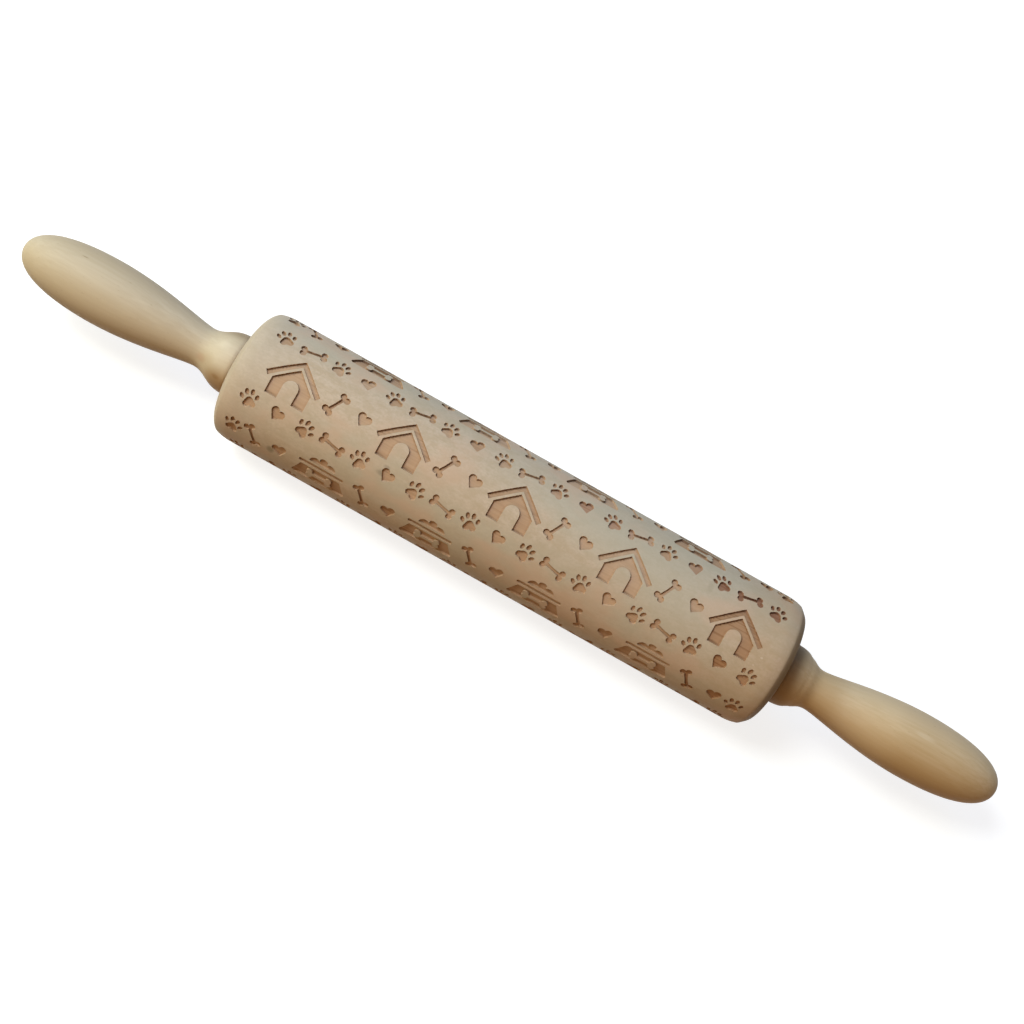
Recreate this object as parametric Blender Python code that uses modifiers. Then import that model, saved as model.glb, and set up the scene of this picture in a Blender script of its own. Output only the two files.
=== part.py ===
"""Embossed wooden rolling pin: an engraved roller that spins on a steel axle between two shaped handles.

The spin axis is world X and the origin is the middle of the roller. All lengths are in metres.
"""

import math

import bmesh
import bpy
from mathutils import Matrix, Vector
from mathutils.geometry import interpolate_bezier

# Clearances
SEAT_GAP = 0.0003
RUNNING_GAP = 0.0003

# Roller
ROLLER_LENGTH = 0.240
ROLLER_RADIUS = 0.0275
EDGE_FALL = 0.0064
EDGE_REACH = 0.0088
BORE_SLACK = 0.0008

# Axle
AXLE_RADIUS = 0.0045
AXLE_SHOULDER = 0.0005
AXLE_CHAMFER = 0.0008
AXLE_PAST_INSERT = 0.004

# Flanged bushes pressed into the roller's ends
BUSH_WALL = 0.003
BUSH_LENGTH = 0.016
FLANGE_THICKNESS = 0.0015
FLANGE_MARGIN = 0.002

# Washers between the bushes and the handles
WASHER_THICKNESS = 0.001
WASHER_INSET = 0.0009

# Threaded inserts in the handles
INSERT_WALL = 0.0016
INSERT_LENGTH = 0.014
INSERT_CHAMFER = 0.0005

# Handles, with places measured from the collar's face
HANDLE_LENGTH = 0.0984
COLLAR_RADIUS = 0.01284
COLLAR_EDGE_FALL = 0.0024
COLLAR_EDGE_REACH = 0.0026
NECK_PLACE = 0.0170
NECK_RADIUS = 0.0085
BELLY_PLACE = 0.0619
BELLY_RADIUS = 0.0138

# Tangents of the handle's curve, as shares of the stretch or radius that each one belongs to
COLLAR_TANGENT_SHARE = 0.51
NECK_INNER_TANGENT_SHARE = 0.38
NECK_OUTER_TANGENT_SHARE = 0.13
BELLY_INNER_TANGENT_SHARE = 0.46
BELLY_OUTER_TANGENT_SHARE = 0.57
TIP_TANGENT_SHARE = 0.64

# A twist drill's tip is about 0.6 of its radius deep
DRILL_TIP_SHARE = 0.6

# Engraving: rows of large motifs round the roller, every other row shifted by half a pitch
ENGRAVING_DEPTH = 0.0008
CUT_OVERRUN = 0.001
PATTERN_MARGIN = 0.0092
PATTERN_TURN = math.radians(67)
ROWS = 6
COLUMN_PITCH = 0.0475

# Kennel, with heights from its middle
KENNEL_HALF_WIDTH = 0.0082
KENNEL_BASE = -0.0090
EAVE_HALF_WIDTH = 0.0116
EAVE_HEIGHT = -0.0012
ROOF_TOP = 0.0091
ROOF_THICKNESS = 0.0021
ROOF_GAP = 0.0010
DOOR_RADIUS = 0.0031
DOOR_SPRING = -0.0034

# Food bowl, with heights from its middle
BOWL_BASE = -0.0070
BOWL_TOP = 0.0004
BOWL_BASE_HALF_WIDTH = 0.0114
BOWL_TOP_HALF_WIDTH = 0.0084
RIM_BASE = 0.0013
RIM_TOP = 0.0029
RIM_HALF_WIDTH = 0.0096
HEAP_BASE = 0.0038
HEAP_LUMP_RADIUS = 0.0024
HEAP_LUMP_PITCH = 0.0032
HEAP_TOP_SHARE = 1.5
BOWL_SIGN_PLACE = -0.0033

# Bone
BONE_LENGTH = 0.0108
BONE_KNOB_RADIUS = 0.0013
BONE_KNOB_SPREAD = 0.00115
BONE_NECK = 0.00075

# Heart, with heights from its middle
HEART_LOBE_RADIUS = 0.0016
HEART_LOBE_SPREAD = 0.00142
HEART_LOBE_HEIGHT = 0.0008
HEART_TIP = -0.0030

# Large motifs of the even and the odd rows
LARGE_KINDS = ("kennel", "bowl")

# Small motifs of one cell: kind, share of the column pitch, share of the row pitch, turn in degrees
CELL_SHARES = (
    ("bone", 0.375, 0.0, 62),
    ("heart", 0.625, 0.0, -14),
    ("bone", 0.0, 0.5, 14),
    ("heart", 0.5, 0.5, 20),
)

# Facets
ROLLER_STEPS = 36
HANDLE_STEPS = 24
SMALL_STEPS = 20
EDGE_STEPS = 5
COLLAR_STEPS = 4
DOOR_STEPS = 2
KNOB_STEPS = 3
LOBE_STEPS = 2
COLLAR_CURVE_POINTS = 6
GRIP_CURVE_POINTS = 8
TIP_CURVE_POINTS = 9
SHARP_ANGLE = math.radians(32)
FLAT_ANGLE = math.radians(2)
PANEL_ANGLE = math.radians(15)
MERGE_DISTANCE = 0.00001
SLIVER_WIDTH = 0.00008

# Places along the axis, worked out from the sizes above
ROLLER_HALF = ROLLER_LENGTH / 2
WASHER_PLACE = RUNNING_GAP
COLLAR_PLACE = WASHER_PLACE + WASHER_THICKNESS + SEAT_GAP
AXLE_HALF = ROLLER_HALF + WASHER_PLACE + WASHER_THICKNESS
AXLE_END_LENGTH = SEAT_GAP + INSERT_LENGTH + AXLE_PAST_INSERT
PATTERN_REACH = ROLLER_HALF - PATTERN_MARGIN

# Radii, worked out from the sizes above
AXLE_END_RADIUS = AXLE_RADIUS - AXLE_SHOULDER
ROLLER_BORE_RADIUS = AXLE_RADIUS + BORE_SLACK
RUNNING_BORE_RADIUS = AXLE_RADIUS + RUNNING_GAP
BUSH_RADIUS = RUNNING_BORE_RADIUS + BUSH_WALL
COLLAR_FACE_RADIUS = COLLAR_RADIUS - COLLAR_EDGE_FALL
WASHER_RADIUS = COLLAR_FACE_RADIUS - WASHER_INSET
FLANGE_RADIUS = WASHER_RADIUS + FLANGE_MARGIN
THREAD_BORE_RADIUS = AXLE_END_RADIUS + SEAT_GAP
INSERT_RADIUS = THREAD_BORE_RADIUS + INSERT_WALL

SIDES = {"left": -1, "right": 1}


def clear_scene():
    for item in list(bpy.data.objects):
        bpy.data.objects.remove(item, do_unlink=True)


def make_collection(name):
    collection = bpy.data.collections.new(name)
    bpy.context.scene.collection.children.link(collection)
    return collection


def make_material(name, colour, roughness, metallic=0.0):
    material = bpy.data.materials.new(name)
    material.use_nodes = True
    shader = material.node_tree.nodes["Principled BSDF"]
    shader.inputs["Base Color"].default_value = (*colour, 1.0)
    shader.inputs["Roughness"].default_value = roughness
    shader.inputs["Metallic"].default_value = metallic
    return material


def make_empty(name, collection, parent=None):
    empty = bpy.data.objects.new(name, None)
    empty.empty_display_size = ROLLER_RADIUS
    empty.parent = parent
    collection.objects.link(empty)
    return empty


def make_end_marks(collection, parent, body):
    """Empties at the roller's two end faces, each with its Z axis pointing away from the roller."""
    marks = {}
    for side, sign in SIDES.items():
        mark = make_empty(f"{body}_{side}_end", collection, parent)
        mark.location = (0, 0, sign * ROLLER_HALF)
        mark.rotation_euler = (0 if sign > 0 else math.pi, 0, 0)
        marks[side] = mark
    return marks


def quarter_ellipse(start, end, count):
    """Points from start to end, leaving start along the radius and reaching end along the height."""
    points = []
    for index in range(count + 1):
        turn = index / count * math.pi / 2
        radius = start[0] + (end[0] - start[0]) * math.sin(turn)
        height = start[1] + (end[1] - start[1]) * (1 - math.cos(turn))
        points.append((radius, height))
    return points


def curve_points(start, start_handle, end_handle, end, count):
    corners = [Vector((*corner, 0)) for corner in (start, start_handle, end_handle, end)]
    return [(point.x, point.y) for point in interpolate_bezier(*corners, count)]


def turned_mesh(name, outline, steps, is_ring):
    """Turns an outline of (radius, height) points round local Z. A ring's outline is a closed loop."""
    base = bpy.data.meshes.new(name)
    form = bmesh.new()
    corners = [form.verts.new((radius, 0, height)) for radius, height in outline]
    for first, second in zip(corners, corners[1:]):
        form.edges.new((first, second))
    if is_ring:
        form.edges.new((corners[-1], corners[0]))
    form.to_mesh(base)
    form.free()
    turning = bpy.data.objects.new(name, base)
    bpy.context.scene.collection.objects.link(turning)
    screw = turning.modifiers.new("turn", "SCREW")
    screw.axis = "Z"
    screw.angle = math.tau
    screw.steps = steps
    screw.render_steps = steps
    screw.use_merge_vertices = True
    screw.merge_threshold = MERGE_DISTANCE
    graph = bpy.context.evaluated_depsgraph_get()
    mesh = bpy.data.meshes.new_from_object(turning.evaluated_get(graph))
    bpy.data.objects.remove(turning, do_unlink=True)
    bpy.data.meshes.remove(base)
    mesh.name = name
    mesh.shade_smooth()
    mesh.set_sharp_from_angle(angle=SHARP_ANGLE)
    return mesh


def add_piece(name, mesh, material, collection, parent, height=0.0):
    piece = bpy.data.objects.new(name, mesh)
    if not mesh.materials:
        mesh.materials.append(material)
    piece.parent = parent
    piece.location = (0, 0, height)
    collection.objects.link(piece)
    return piece


def roller_outline():
    """Half of the outline from the bore outwards, then the same half mirrored."""
    recess_radius = FLANGE_RADIUS + SEAT_GAP
    recess_floor = ROLLER_HALF - FLANGE_THICKNESS - SEAT_GAP
    socket_radius = BUSH_RADIUS + SEAT_GAP
    socket_floor = recess_floor - BUSH_LENGTH
    half = [
        (ROLLER_BORE_RADIUS, socket_floor),
        (socket_radius, socket_floor),
        (socket_radius, recess_floor),
        (recess_radius, recess_floor),
        (recess_radius, ROLLER_HALF),
    ]
    half += quarter_ellipse(
        (ROLLER_RADIUS - EDGE_FALL, ROLLER_HALF),
        (ROLLER_RADIUS, ROLLER_HALF - EDGE_REACH),
        EDGE_STEPS,
    )
    return half + [(radius, -height) for radius, height in reversed(half)]


def bush_outline():
    """A sleeve under a flange whose outer face is flush with the roller's end, at height zero."""
    return [
        (RUNNING_BORE_RADIUS, 0),
        (FLANGE_RADIUS, 0),
        (FLANGE_RADIUS, -FLANGE_THICKNESS),
        (BUSH_RADIUS, -FLANGE_THICKNESS),
        (BUSH_RADIUS, -FLANGE_THICKNESS - BUSH_LENGTH),
        (RUNNING_BORE_RADIUS, -FLANGE_THICKNESS - BUSH_LENGTH),
    ]


def washer_outline():
    return [
        (RUNNING_BORE_RADIUS, WASHER_THICKNESS),
        (WASHER_RADIUS, WASHER_THICKNESS),
        (WASHER_RADIUS, 0),
        (RUNNING_BORE_RADIUS, 0),
    ]


def insert_outline():
    """A sleeve from the collar's face inwards, with its two outer edges chamfered."""
    return [
        (THREAD_BORE_RADIUS, INSERT_LENGTH),
        (INSERT_RADIUS - INSERT_CHAMFER, INSERT_LENGTH),
        (INSERT_RADIUS, INSERT_LENGTH - INSERT_CHAMFER),
        (INSERT_RADIUS, INSERT_CHAMFER),
        (INSERT_RADIUS - INSERT_CHAMFER, 0),
        (THREAD_BORE_RADIUS, 0),
    ]


def axle_outline():
    """A journal between two shoulders, and a thinner chamfered end past each shoulder."""
    end = AXLE_HALF + AXLE_END_LENGTH
    half = [
        (0, end),
        (AXLE_END_RADIUS - AXLE_CHAMFER, end),
        (AXLE_END_RADIUS, end - AXLE_CHAMFER),
        (AXLE_END_RADIUS, AXLE_HALF),
        (AXLE_RADIUS, AXLE_HALF),
    ]
    return half + [(radius, -height) for radius, height in reversed(half)]


def handle_outline():
    """From the rounded tip over the belly and the neck to the collar, then up its drilled hole."""
    tip = (0, HANDLE_LENGTH)
    belly = (BELLY_RADIUS, BELLY_PLACE)
    neck = (NECK_RADIUS, NECK_PLACE)
    crown = (COLLAR_RADIUS, COLLAR_EDGE_REACH)
    tip_stretch = HANDLE_LENGTH - BELLY_PLACE
    grip_stretch = BELLY_PLACE - NECK_PLACE
    collar_stretch = NECK_PLACE - COLLAR_EDGE_REACH
    end = curve_points(
        tip,
        (BELLY_RADIUS * TIP_TANGENT_SHARE, HANDLE_LENGTH),
        (BELLY_RADIUS, BELLY_PLACE + tip_stretch * BELLY_OUTER_TANGENT_SHARE),
        belly,
        TIP_CURVE_POINTS,
    )
    grip = curve_points(
        belly,
        (BELLY_RADIUS, BELLY_PLACE - grip_stretch * BELLY_INNER_TANGENT_SHARE),
        (NECK_RADIUS, NECK_PLACE + grip_stretch * NECK_OUTER_TANGENT_SHARE),
        neck,
        GRIP_CURVE_POINTS,
    )
    collar = curve_points(
        neck,
        (NECK_RADIUS, NECK_PLACE - collar_stretch * NECK_INNER_TANGENT_SHARE),
        (COLLAR_RADIUS, COLLAR_EDGE_REACH + collar_stretch * COLLAR_TANGENT_SHARE),
        crown,
        COLLAR_CURVE_POINTS,
    )
    edge = quarter_ellipse((COLLAR_FACE_RADIUS, 0), crown, COLLAR_STEPS)
    seat_radius = INSERT_RADIUS + SEAT_GAP
    seat_floor = INSERT_LENGTH + SEAT_GAP
    hole_floor = seat_floor + AXLE_PAST_INSERT
    hole = [
        (seat_radius, 0),
        (seat_radius, seat_floor),
        (THREAD_BORE_RADIUS, seat_floor),
        (THREAD_BORE_RADIUS, hole_floor),
        (0, hole_floor + THREAD_BORE_RADIUS * DRILL_TIP_SHARE),
    ]
    return end + grip[1:] + collar[1:] + edge[-2::-1] + hole


def arc(centre, radius, first, last, count):
    """Points on an arc from one angle to another, in degrees, both ends included."""
    points = []
    for index in range(count + 1):
        angle = math.radians(first + (last - first) * index / count)
        points.append((centre[0] + radius * math.cos(angle), centre[1] + radius * math.sin(angle)))
    return points


def mirrored(points):
    return [(-across, up) for across, up in reversed(points)]


def bone_outline(place=0.0):
    """Two knobs at each end of a straight shaft."""
    reach = BONE_LENGTH / 2 - BONE_KNOB_RADIUS
    cleft = math.degrees(math.asin(BONE_KNOB_SPREAD / BONE_KNOB_RADIUS))
    joint = math.degrees(math.asin((BONE_KNOB_SPREAD - BONE_NECK) / BONE_KNOB_RADIUS))
    upper = arc((reach, BONE_KNOB_SPREAD), BONE_KNOB_RADIUS, -cleft, 180 + joint, KNOB_STEPS)
    lower = [(across, -up) for across, up in reversed(upper)]
    end = lower + upper[1:]
    return [(across, up + place) for across, up in end + [(-across, -up) for across, up in end]]


def heart_outline():
    """Two lobes that run into a point along their tangents."""
    across, rise = HEART_LOBE_SPREAD, HEART_LOBE_HEIGHT - HEART_TIP
    lean = math.degrees(math.atan2(rise, across) - math.asin(HEART_LOBE_RADIUS / math.hypot(across, rise)))
    cleft = math.degrees(math.acos(-HEART_LOBE_SPREAD / HEART_LOBE_RADIUS))
    lobe = arc((across, HEART_LOBE_HEIGHT), HEART_LOBE_RADIUS, lean - 90, cleft, LOBE_STEPS)
    return lobe + mirrored(lobe)[1:] + [(0, HEART_TIP)]


def kennel_outlines():
    """A roof over a gabled body with an arched doorway."""
    slope = (ROOF_TOP - EAVE_HEIGHT) / EAVE_HALF_WIDTH
    stretch = math.hypot(1, slope)
    drop = ROOF_THICKNESS * stretch
    eave = (EAVE_HALF_WIDTH - ROOF_THICKNESS * slope / stretch, EAVE_HEIGHT - ROOF_THICKNESS / stretch)
    roof = [(0, ROOF_TOP - drop), eave, (EAVE_HALF_WIDTH, EAVE_HEIGHT), (0, ROOF_TOP)]
    gable_top = ROOF_TOP - drop - ROOF_GAP * stretch
    doorway = arc((0, DOOR_SPRING), DOOR_RADIUS, 90, 0, DOOR_STEPS)
    walls = doorway + [
        (DOOR_RADIUS, KENNEL_BASE),
        (KENNEL_HALF_WIDTH, KENNEL_BASE),
        (KENNEL_HALF_WIDTH, gable_top - KENNEL_HALF_WIDTH * slope),
        (0, gable_top),
    ]
    return [roof + mirrored(roof)[1:-1], walls + mirrored(walls)[1:-1]]


def bowl_outlines():
    """A wide-footed bowl with a bone left raised on it, its rim and a heap of food."""
    body = [(BOWL_BASE_HALF_WIDTH, BOWL_BASE), (BOWL_TOP_HALF_WIDTH, BOWL_TOP)]
    rim_middle = (RIM_BASE + RIM_TOP) / 2
    rim_end = RIM_HALF_WIDTH - rim_middle + RIM_BASE
    rim = [(rim_end, RIM_BASE), (RIM_HALF_WIDTH, rim_middle), (rim_end, RIM_TOP)]
    side = math.degrees(math.acos(HEAP_LUMP_PITCH / 2 / HEAP_LUMP_RADIUS))
    heap = arc((HEAP_LUMP_PITCH, HEAP_BASE), HEAP_LUMP_RADIUS, 0, 180 - side, LOBE_STEPS)
    heap_top = (0, HEAP_BASE + HEAP_LUMP_RADIUS * HEAP_TOP_SHARE)
    return [
        body + mirrored(body),
        bone_outline(BOWL_SIGN_PLACE),
        rim + mirrored(rim),
        heap + [heap_top] + mirrored(heap),
    ]


def motif_outlines(kind):
    if kind == "kennel":
        return kennel_outlines()
    if kind == "bowl":
        return bowl_outlines()
    if kind == "heart":
        return [heart_outline()]
    return [bone_outline()]


def bent_round(point):
    """A point of a block that has been bent round the roller, with a crease between its flat panels."""
    panels = point.y / ROLLER_RADIUS / PANEL_ANGLE + 0.5
    share = panels - math.floor(panels)
    first = (math.floor(panels) - 0.5) * PANEL_ANGLE
    last = first + PANEL_ANGLE
    across = math.sin(first) * (1 - share) + math.sin(last) * share
    out = math.cos(first) * (1 - share) + math.cos(last) * share
    return (point.x, across * point.z, out * point.z)


def bend_block(form):
    """Creases a block along the edges of its flat panels and bends it round the roller."""
    panel_width = ROLLER_RADIUS * PANEL_ANGLE
    tallest = max(abs(corner.co.y) for corner in form.verts)
    creases = math.ceil(tallest / panel_width)
    for index in range(-creases, creases):
        bmesh.ops.bisect_plane(
            form,
            geom=form.verts[:] + form.edges[:] + form.faces[:],
            dist=MERGE_DISTANCE,
            plane_co=(0, (index + 0.5) * panel_width, 0),
            plane_no=(0, 1, 0),
        )
    for corner in form.verts:
        corner.co = bent_round(corner.co)


def flat_block(kind):
    """A motif's outlines as a slab as thick as its cut. An outline inside another is a hole."""
    drawing = bpy.data.curves.new(kind, "CURVE")
    drawing.dimensions = "2D"
    drawing.fill_mode = "BOTH"
    drawing.extrude = (ENGRAVING_DEPTH + CUT_OVERRUN) / 2
    for outline in motif_outlines(kind):
        spline = drawing.splines.new("POLY")
        spline.points.add(len(outline) - 1)
        for point, (along, around) in zip(spline.points, outline):
            point.co = Vector((along, around, 0)).to_4d()
        spline.use_cyclic_u = True
    holder = bpy.data.objects.new(kind, drawing)
    bpy.context.scene.collection.objects.link(holder)
    graph = bpy.context.evaluated_depsgraph_get()
    mesh = bpy.data.meshes.new_from_object(holder.evaluated_get(graph))
    bpy.data.objects.remove(holder, do_unlink=True)
    bpy.data.curves.remove(drawing)
    return mesh


def pocket_block(kind):
    """A motif's cutter where it lies on top of the roller, with X along the axis and Z out."""
    mesh = flat_block(kind)
    form = bmesh.new()
    form.from_mesh(mesh)
    bmesh.ops.remove_doubles(form, verts=form.verts, dist=MERGE_DISTANCE)
    middle_radius = ROLLER_RADIUS + (CUT_OVERRUN - ENGRAVING_DEPTH) / 2
    bmesh.ops.translate(form, vec=(0, 0, middle_radius), verts=form.verts)
    if kind in LARGE_KINDS:
        bend_block(form)
    form.to_mesh(mesh)
    form.free()
    return mesh


def pattern_places():
    """Kind, place along the axis, place round the roller and turn of each motif."""
    places = []
    last_column = math.ceil(ROLLER_HALF / COLUMN_PITCH)
    large_half_width = max(EAVE_HALF_WIDTH, BOWL_BASE_HALF_WIDTH)
    row_turn = math.tau / ROWS
    for row in range(ROWS):
        odd = row % 2
        for column in range(-last_column, last_column + 1):
            along = (column + odd / 2) * COLUMN_PITCH
            if abs(along) + large_half_width < PATTERN_REACH:
                places.append((LARGE_KINDS[odd], along, row * row_turn, 0))
            for kind, along_share, round_share, turn in CELL_SHARES:
                small_along = along + along_share * COLUMN_PITCH
                if abs(small_along) + BONE_LENGTH / 2 < PATTERN_REACH:
                    places.append((kind, small_along, (row + round_share) * row_turn, -turn if odd else turn))
    return places


def make_pattern_cutter(collection, parent):
    """The pockets' blocks in one object, each turned on the skin and swung round the roller to its place."""
    blocks = {kind: pocket_block(kind) for kind in ("kennel", "bowl", "bone", "heart")}
    form = bmesh.new()
    for kind, along, around, turn in pattern_places():
        count = len(form.verts)
        form.from_mesh(blocks[kind])
        form.verts.ensure_lookup_table()
        out = PATTERN_TURN + around
        sideways = (0, -math.cos(out), -math.sin(out))
        upwards = (0, math.sin(out), -math.cos(out))
        swing = Matrix((sideways, upwards, (1, 0, 0))).to_4x4()
        place = Matrix.Translation((0, 0, along)) @ swing @ Matrix.Rotation(math.radians(turn), 4, "Z")
        bmesh.ops.transform(form, matrix=place, verts=form.verts[count:])
    mesh = bpy.data.meshes.new("pattern_cutter")
    form.to_mesh(mesh)
    form.free()
    for block in blocks.values():
        bpy.data.meshes.remove(block)
    cutter = bpy.data.objects.new("pattern_cutter", mesh)
    cutter.parent = parent
    cutter.hide_render = True
    cutter.display_type = "WIRE"
    collection.objects.link(cutter)
    return cutter


def engrave(roller, cutter):
    """Cuts the pockets, then closes the slivers that the cut leaves and joins faces that lie in one plane."""
    cut = roller.modifiers.new("pockets", "BOOLEAN")
    cut.operation = "DIFFERENCE"
    cut.solver = "EXACT"
    cut.object = cutter
    weld = roller.modifiers.new("slivers", "WELD")
    weld.merge_threshold = SLIVER_WIDTH
    flat = roller.modifiers.new("flat_faces", "DECIMATE")
    flat.decimate_type = "DISSOLVE"
    flat.angle_limit = FLAT_ANGLE


def build_rolling_pin():
    clear_scene()
    pin = make_collection("rolling_pin")
    cutters = make_collection("cutters")
    roller_wood = make_material("roller_wood", (0.62, 0.47, 0.31), 0.6)
    handle_wood = make_material("handle_wood", (0.56, 0.38, 0.19), 0.35)
    nylon = make_material("bush_nylon", (0.80, 0.79, 0.75), 0.5)
    axle_steel = make_material("axle_steel", (0.58, 0.58, 0.60), 0.3, 1.0)
    washer_steel = make_material("washer_steel", (0.66, 0.66, 0.67), 0.35, 1.0)
    brass = make_material("insert_brass", (0.72, 0.53, 0.24), 0.35, 1.0)

    spin_axis = make_empty("spin_axis", pin)
    spin_axis.rotation_euler = (0, math.pi / 2, 0)
    turning = make_empty("turning_parts", pin, spin_axis)
    still = make_empty("still_parts", pin, spin_axis)
    turning_ends = make_end_marks(pin, turning, "turning")
    still_ends = make_end_marks(pin, still, "still")

    roller = add_piece(
        "roller",
        turned_mesh("roller", roller_outline(), ROLLER_STEPS, True),
        roller_wood,
        pin,
        turning,
    )
    # Half a step turns a flat facet down, so the roller lies on it.
    roller.rotation_euler = (0, 0, math.pi / ROLLER_STEPS)
    engrave(roller, make_pattern_cutter(cutters, turning))
    add_piece(
        "axle",
        turned_mesh("axle", axle_outline(), SMALL_STEPS, False),
        axle_steel,
        pin,
        still,
    )

    bush = turned_mesh("bush", bush_outline(), SMALL_STEPS, True)
    washer = turned_mesh("washer", washer_outline(), SMALL_STEPS, True)
    insert = turned_mesh("insert", insert_outline(), SMALL_STEPS, True)
    handle = turned_mesh("handle", handle_outline(), HANDLE_STEPS, False)
    for side in SIDES:
        add_piece(f"bush_{side}", bush, nylon, pin, turning_ends[side])
        end = still_ends[side]
        add_piece(f"washer_{side}", washer, washer_steel, pin, end, WASHER_PLACE)
        add_piece(f"insert_{side}", insert, brass, pin, end, COLLAR_PLACE)
        add_piece(f"handle_{side}", handle, handle_wood, pin, end, COLLAR_PLACE)


build_rolling_pin()
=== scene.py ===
"""Looks of the embossed rolling pin: an engraved roller, turned handles, woods, metals, stage and light.

Lengths are in metres. The spin axis is world X, and the roller's middle is at the origin.
"""

import math
from collections import namedtuple

import bmesh
import bpy
import numpy as np
from mathutils import Matrix, Vector
from mathutils.geometry import delaunay_2d_cdt, interpolate_bezier


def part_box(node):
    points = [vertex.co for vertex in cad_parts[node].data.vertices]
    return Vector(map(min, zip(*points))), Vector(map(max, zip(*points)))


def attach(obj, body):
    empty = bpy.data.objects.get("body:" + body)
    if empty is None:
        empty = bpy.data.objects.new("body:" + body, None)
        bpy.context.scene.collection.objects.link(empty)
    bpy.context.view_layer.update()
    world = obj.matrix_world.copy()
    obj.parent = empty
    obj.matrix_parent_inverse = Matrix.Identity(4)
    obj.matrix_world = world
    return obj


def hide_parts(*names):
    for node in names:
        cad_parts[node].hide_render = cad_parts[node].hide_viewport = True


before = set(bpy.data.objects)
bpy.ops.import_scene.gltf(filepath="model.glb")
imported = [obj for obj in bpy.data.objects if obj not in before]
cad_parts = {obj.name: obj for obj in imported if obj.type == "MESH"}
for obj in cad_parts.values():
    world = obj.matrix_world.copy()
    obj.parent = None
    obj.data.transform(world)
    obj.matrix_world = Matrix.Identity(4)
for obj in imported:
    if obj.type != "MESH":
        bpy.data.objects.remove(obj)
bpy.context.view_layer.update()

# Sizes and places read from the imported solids
ROLLER_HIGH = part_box("roller")[1]
HANDLE_LOW, HANDLE_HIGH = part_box("handle_right")
ROLLER_HALF = ROLLER_HIGH.x
ROLLER_RADIUS = ROLLER_HIGH.z
COLLAR_PLACE = HANDLE_LOW.x
HANDLE_LENGTH = HANDLE_HIGH.x - HANDLE_LOW.x
BELLY_RADIUS = HANDLE_HIGH.z
FLANGE_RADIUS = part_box("bush_right")[1].z
BUSH_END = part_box("bush_right")[0].x
INSERT_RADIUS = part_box("insert_right")[1].z
INSERT_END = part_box("insert_right")[1].x

# Roller: its skin falls gently to a crest near each end
EDGE_FALL = 0.0009
EDGE_REACH = 0.0088
CREST_REACH = 0.0029

# The right end's bevel and the left end's rounding, which run from the crest to the end face.
# The rounding's two curve handles lie these ways past and below the crest.
BEVEL_FALL = 0.0036
BEVEL_ANGLE = math.radians(41)
ROUND_FALL = 0.0062
ROUND_CURVE_HANDLES = ((0.0018, 0.0012), (0.0028, 0.0036))

# Gap round every seated piece, and the seats of the bushes in the roller
SEAT_GAP = 0.0003
FLANGE_THICKNESS = 0.0015
BUSH_RADIUS = 0.0078
ROLLER_BORE_RADIUS = 0.0053

# Handles, with places measured from the collar's face
COLLAR_RADIUS = 0.01284
COLLAR_EDGE_FALL = 0.0024
COLLAR_EDGE_REACH = 0.0026
NECK_PLACE = 0.0170
NECK_RADIUS = 0.0085
BELLY_PLACE = 0.0619
AXLE_END_RADIUS = 0.004
AXLE_PAST_INSERT = 0.004
CREASE_PLACE = 0.0100
CREASE_HALF_WIDTH = 0.0014
CREASE_DEPTH = 0.00030
LEFT_COLLAR_TANGENT_SHARE = 0.49
RIGHT_COLLAR_TANGENT_SHARE = 0.64
NECK_INNER_TANGENT_SHARE = 0.38
NECK_OUTER_TANGENT_SHARE = 0.13
BELLY_INNER_TANGENT_SHARE = 0.46
BELLY_OUTER_TANGENT_SHARE = 0.57
TIP_TANGENT_SHARE = 0.72
DRILL_TIP_SHARE = 0.6

# Engraving: its depth, its layout, how far round the roller its first row lies and its mesh's fineness
ENGRAVING_DEPTH = 0.0008
WALL_DRAFT = 0.0002
PATTERN_REACH = 0.1133
SKIN_REACH = 0.1146
SKIN_RINGS = 6
PATTERN_TURN = math.radians(67)
ROWS = 6
COLUMN_PITCH = 0.0475
COLUMNS = range(-3, 4)
END_PAW_PLACE = 0.1094
END_PAW_TURN = 12
LARGE_FLOOR_GRID = 0.0008
SMALL_FLOOR_GRID = 0.0005
LONGEST_EDGE = 0.0007
FLOOR_CLEARANCE_SHARE = 1 / 3
SHARPEST_CORNER_SHARE = 0.35

# Char along the walls, with painted shade on one side: how far it reaches, the side on which the walls face
# away from the light and take that shade, along the axis and round the roller, and how much charring the
# other sides have
SCORCH_REACH = 0.0004
SHADED_WALL_SIDE = (0.7, -0.7)
FAR_SIDE_CHAR = 0.2

# How strongly the laser browned each motif: unevenly, and most towards the right end
BURN_LEAST = 0.05
BURN_SPREAD = 0.35
BURN_RIGHT = 0.55
BURN_RIGHT_PLACES = (0.070, 0.096)
BURN_SEED = 11

# Kennel
KENNEL_HALF_WIDTH = 0.0082
KENNEL_BASE = -0.0090
EAVE_HALF_WIDTH = 0.0116
EAVE_HEIGHT = -0.0012
ROOF_TOP = 0.0091
ROOF_THICKNESS = 0.0021
ROOF_GAP = 0.0010
DOOR_RADIUS = 0.0031
DOOR_SPRING = -0.0034

# Food bowl
BOWL_BASE = -0.0070
BOWL_TOP = 0.0004
BOWL_BASE_HALF_WIDTH = 0.0114
BOWL_TOP_HALF_WIDTH = 0.0084
BOWL_CORNER = 0.0011
RIM_BASE = 0.0013
RIM_TOP = 0.0029
RIM_HALF_WIDTH = 0.0096
HEAP_BASE = 0.0038
HEAP_LUMP_RADIUS = 0.0024
HEAP_LUMP_PITCH = 0.0032
BOWL_SIGN_PLACE = -0.0033

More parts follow.
